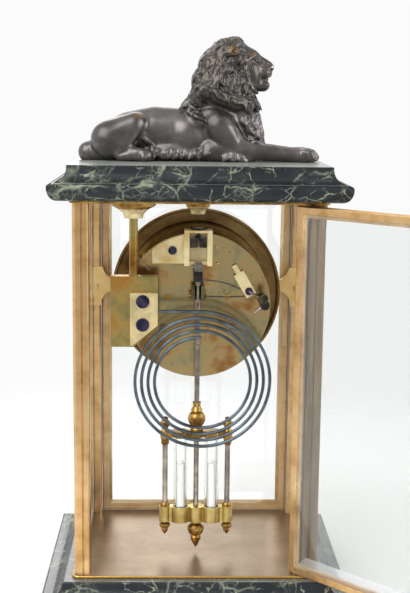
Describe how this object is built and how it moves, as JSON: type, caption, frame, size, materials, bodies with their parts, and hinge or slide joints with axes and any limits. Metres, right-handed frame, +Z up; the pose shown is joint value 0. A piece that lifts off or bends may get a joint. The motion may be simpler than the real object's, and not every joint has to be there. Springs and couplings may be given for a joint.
{
  "type": "cage clock",
  "caption": "Glazed brass table clock between marble slabs, with a lion on top, a round striking movement, a coiled gong, a vial pendulum and hinged front and rear doors.",
  "frame": {"origin": "centre of the plinth's underside, where the clock stands", "axes": "+Z up; the dial looks along -Y; the rear door is on +Y; +X is on the right as seen from the front"},
  "size_m": [0.2818, 0.2535, 0.4063],
  "materials": {
    "sea_green_marble": "polished",
    "gilt_brass": "satin gilt",
    "bevelled_glass": "polished",
    "patinated_bronze": "dark patina, rubbed on the high spots",
    "movement_brass": "tarnished",
    "train_brass": "polished",
    "blued_steel": "heat blued",
    "grey_steel": "polished",
    "enamel": "glossy",
    "mercury": "mirror"
  },
  "bodies": {
    "case": {"plinth": "sea_green_marble", "base_plate": "gilt_brass", "pillar_front_left": "gilt_brass", "pillar_front_right": "gilt_brass", "pillar_rear_left": "gilt_brass", "pillar_rear_right": "gilt_brass", "top_plate": "gilt_brass", "cornice": "sea_green_marble", "case_screws": "gilt_brass", "side_glass_left": "bevelled_glass", "side_glass_right": "bevelled_glass", "lion": "patinated_bronze", "lion_stud": "grey_steel", "flared_nuts": "movement_brass", "door_pins": "gilt_brass", "dial_pan": "movement_brass", "bezel": "gilt_brass", "dial": "enamel", "brackets": "gilt_brass", "front_plate": "movement_brass", "back_plate": "movement_brass", "plate_pillars": "movement_brass", "blued_screws": "blued_steel", "clicks": "grey_steel", "strike_springs": "grey_steel", "suspension_cock": "movement_brass", "gong_post": "movement_brass", "gong_block": "movement_brass", "gong_clamp": "movement_brass", "gong_spring": "blued_steel"},
    "front_door": {"front_door_frame": "gilt_brass", "front_door_glass": "bevelled_glass"},
    "front_latch": {"front_door_latch": "gilt_brass"},
    "rear_door": {"rear_door_frame": "gilt_brass", "rear_door_glass": "bevelled_glass"},
    "rear_latch": {"rear_door_latch": "gilt_brass"},
    "minute": {"minute_hand": "blued_steel", "hand_collet": "movement_brass", "centre_wheel": "train_brass"},
    "hour": {"hour_hand": "blued_steel"},
    "motion": {"minute_wheel": "train_brass"},
    "going_barrel": {"going_barrel": "train_brass"},
    "third": {"third_wheel": "train_brass"},
    "escape": {"escape_wheel": "train_brass"},
    "pendulum": {"suspension_spring": "grey_steel", "pendulum_rod": "movement_brass", "pendulum_frame": "movement_brass", "pendulum_vials": "bevelled_glass", "mercury_columns": "mercury"},
    "crutch": {"pallets": "grey_steel", "crutch": "movement_brass"},
    "strike_barrel": {"strike_barrel": "train_brass"},
    "pin_wheel": {"pin_wheel": "train_brass"},
    "locking": {"locking_wheel": "train_brass"},
    "fly": {"fly": "grey_steel"},
    "hammer": {"hammer": "grey_steel"},
    "going_winder": {"going_winder": "grey_steel"},
    "strike_winder": {"strike_winder": "grey_steel"},
    "rating_arbor": {"rating_arbor": "grey_steel"},
    "rating_screw": {"rating_screw": "grey_steel"},
    "rating_slide": {"rating_slide": "grey_steel"}
  },
  "joints": [
    {"name": "front_door_hinge", "type": "hinge", "parent": "case", "child": "front_door", "pos_m": [0.0683, -0.0633, 0.038], "axis": [0, 0, 1], "range_deg": [0, 135]},
    {"name": "front_latch_turn", "type": "hinge", "parent": "front_door", "child": "front_latch", "pos_m": [-0.0695, -0.0633, 0.1665], "axis": [0, -1, 0], "range_deg": [0, 90]},
    {"name": "rear_door_hinge", "type": "hinge", "parent": "case", "child": "rear_door", "pos_m": [-0.0683, 0.0633, 0.038], "axis": [0, 0, 1], "range_deg": [-135, 5]},
    {"name": "rear_latch_turn", "type": "hinge", "parent": "rear_door", "child": "rear_latch", "pos_m": [-0.16574, 0.16074, 0.1665], "axis": [-0.7071, -0.7071, 0], "range_deg": [0, 90]},
    {"name": "minute_turn", "type": "hinge", "parent": "case", "child": "minute", "pos_m": [0, 0, 0.218], "axis": [0, 1, 0], "continuous": true},
    {"name": "hour_turn", "type": "hinge", "parent": "case", "child": "hour", "pos_m": [0, 0, 0.218], "axis": [0, 1, 0], "continuous": true},
    {"name": "motion_turn", "type": "hinge", "parent": "case", "child": "motion", "pos_m": [0, 0, 0.2084], "axis": [0, 1, 0], "continuous": true},
    {"name": "going_barrel_turn", "type": "hinge", "parent": "case", "child": "going_barrel", "pos_m": [0.0215, 0, 0.224], "axis": [0, 1, 0], "continuous": true},
    {"name": "third_turn", "type": "hinge", "parent": "case", "child": "third", "pos_m": [0.005, 0, 0.2384], "axis": [0, 1, 0], "continuous": true},
    {"name": "escape_turn", "type": "hinge", "parent": "case", "child": "escape", "pos_m": [0, 0, 0.2478], "axis": [0, 1, 0], "continuous": true},
    {"name": "pendulum_swing", "type": "hinge", "parent": "case", "child": "pendulum", "pos_m": [0, 0.022, 0.261], "axis": [0, 1, 0], "range_deg": [-3, 3]},
    {"name": "crutch_swing", "type": "hinge", "parent": "case", "child": "crutch", "pos_m": [0, 0.011, 0.261], "axis": [0, 1, 0], "range_deg": [-3, 3]},
    {"name": "strike_turn", "type": "hinge", "parent": "case", "child": "strike_barrel", "pos_m": [-0.0215, 0, 0.224], "axis": [0, 1, 0], "continuous": true},
    {"name": "pin_wheel_turn", "type": "hinge", "parent": "case", "child": "pin_wheel", "pos_m": [-0.0155, 0, 0.2453], "axis": [0, 1, 0], "continuous": true},
    {"name": "locking_turn", "type": "hinge", "parent": "case", "child": "locking", "pos_m": [-0.0127, 0, 0.2565], "axis": [0, 1, 0], "continuous": true},
    {"name": "fly_turn", "type": "hinge", "parent": "case", "child": "fly", "pos_m": [-0.0225, 0, 0.2565], "axis": [0, 1, 0], "continuous": true},
    {"name": "hammer_swing", "type": "hinge", "parent": "case", "child": "hammer", "pos_m": [-0.0265, 0, 0.2457], "axis": [0, 1, 0], "range_deg": [-14, 10]},
    {"name": "going_winding", "type": "hinge", "parent": "case", "child": "going_winder", "pos_m": [0.0215, 0, 0.224], "axis": [0, 1, 0], "range_deg": [-1800, 0]},
    {"name": "strike_winding", "type": "hinge", "parent": "case", "child": "strike_winder", "pos_m": [-0.0215, 0, 0.224], "axis": [0, 1, 0], "range_deg": [0, 1800]},
    {"name": "rating_turn", "type": "hinge", "parent": "case", "child": "rating_arbor", "pos_m": [0, 0, 0.268], "axis": [0, 1, 0], "range_deg": [-720, 720]},
    {"name": "rating_screw_turn", "type": "hinge", "parent": "case", "child": "rating_screw", "pos_m": [0, 0.022, 0.261], "axis": [0, 0, 1], "range_deg": [-400, 400]},
    {"name": "rating_slide", "type": "slide", "parent": "case", "child": "rating_slide", "axis": [0, 0, 1], "range_m": [-0.0009, 0.0009]}
  ],
  "couplings": [
    {"joint": "hour_turn", "follows": "minute_turn", "ratio": 0.083333},
    {"joint": "motion_turn", "follows": "minute_turn", "ratio": -0.33333},
    {"joint": "going_barrel_turn", "follows": "minute_turn", "ratio": -0.125},
    {"joint": "third_turn", "follows": "minute_turn", "ratio": -12},
    {"joint": "escape_turn", "follows": "minute_turn", "ratio": 120},
    {"joint": "crutch_swing", "follows": "pendulum_swing", "ratio": 1},
    {"joint": "pin_wheel_turn", "follows": "strike_turn", "ratio": -8},
    {"joint": "locking_turn", "follows": "strike_turn", "ratio": 72},
    {"joint": "fly_turn", "follows": "strike_turn", "ratio": -576},
    {"joint": "rating_turn", "follows": "rating_slide", "rad_per_m": 13963},
    {"joint": "rating_screw_turn", "follows": "rating_slide", "rad_per_m": -7757}
  ]
}
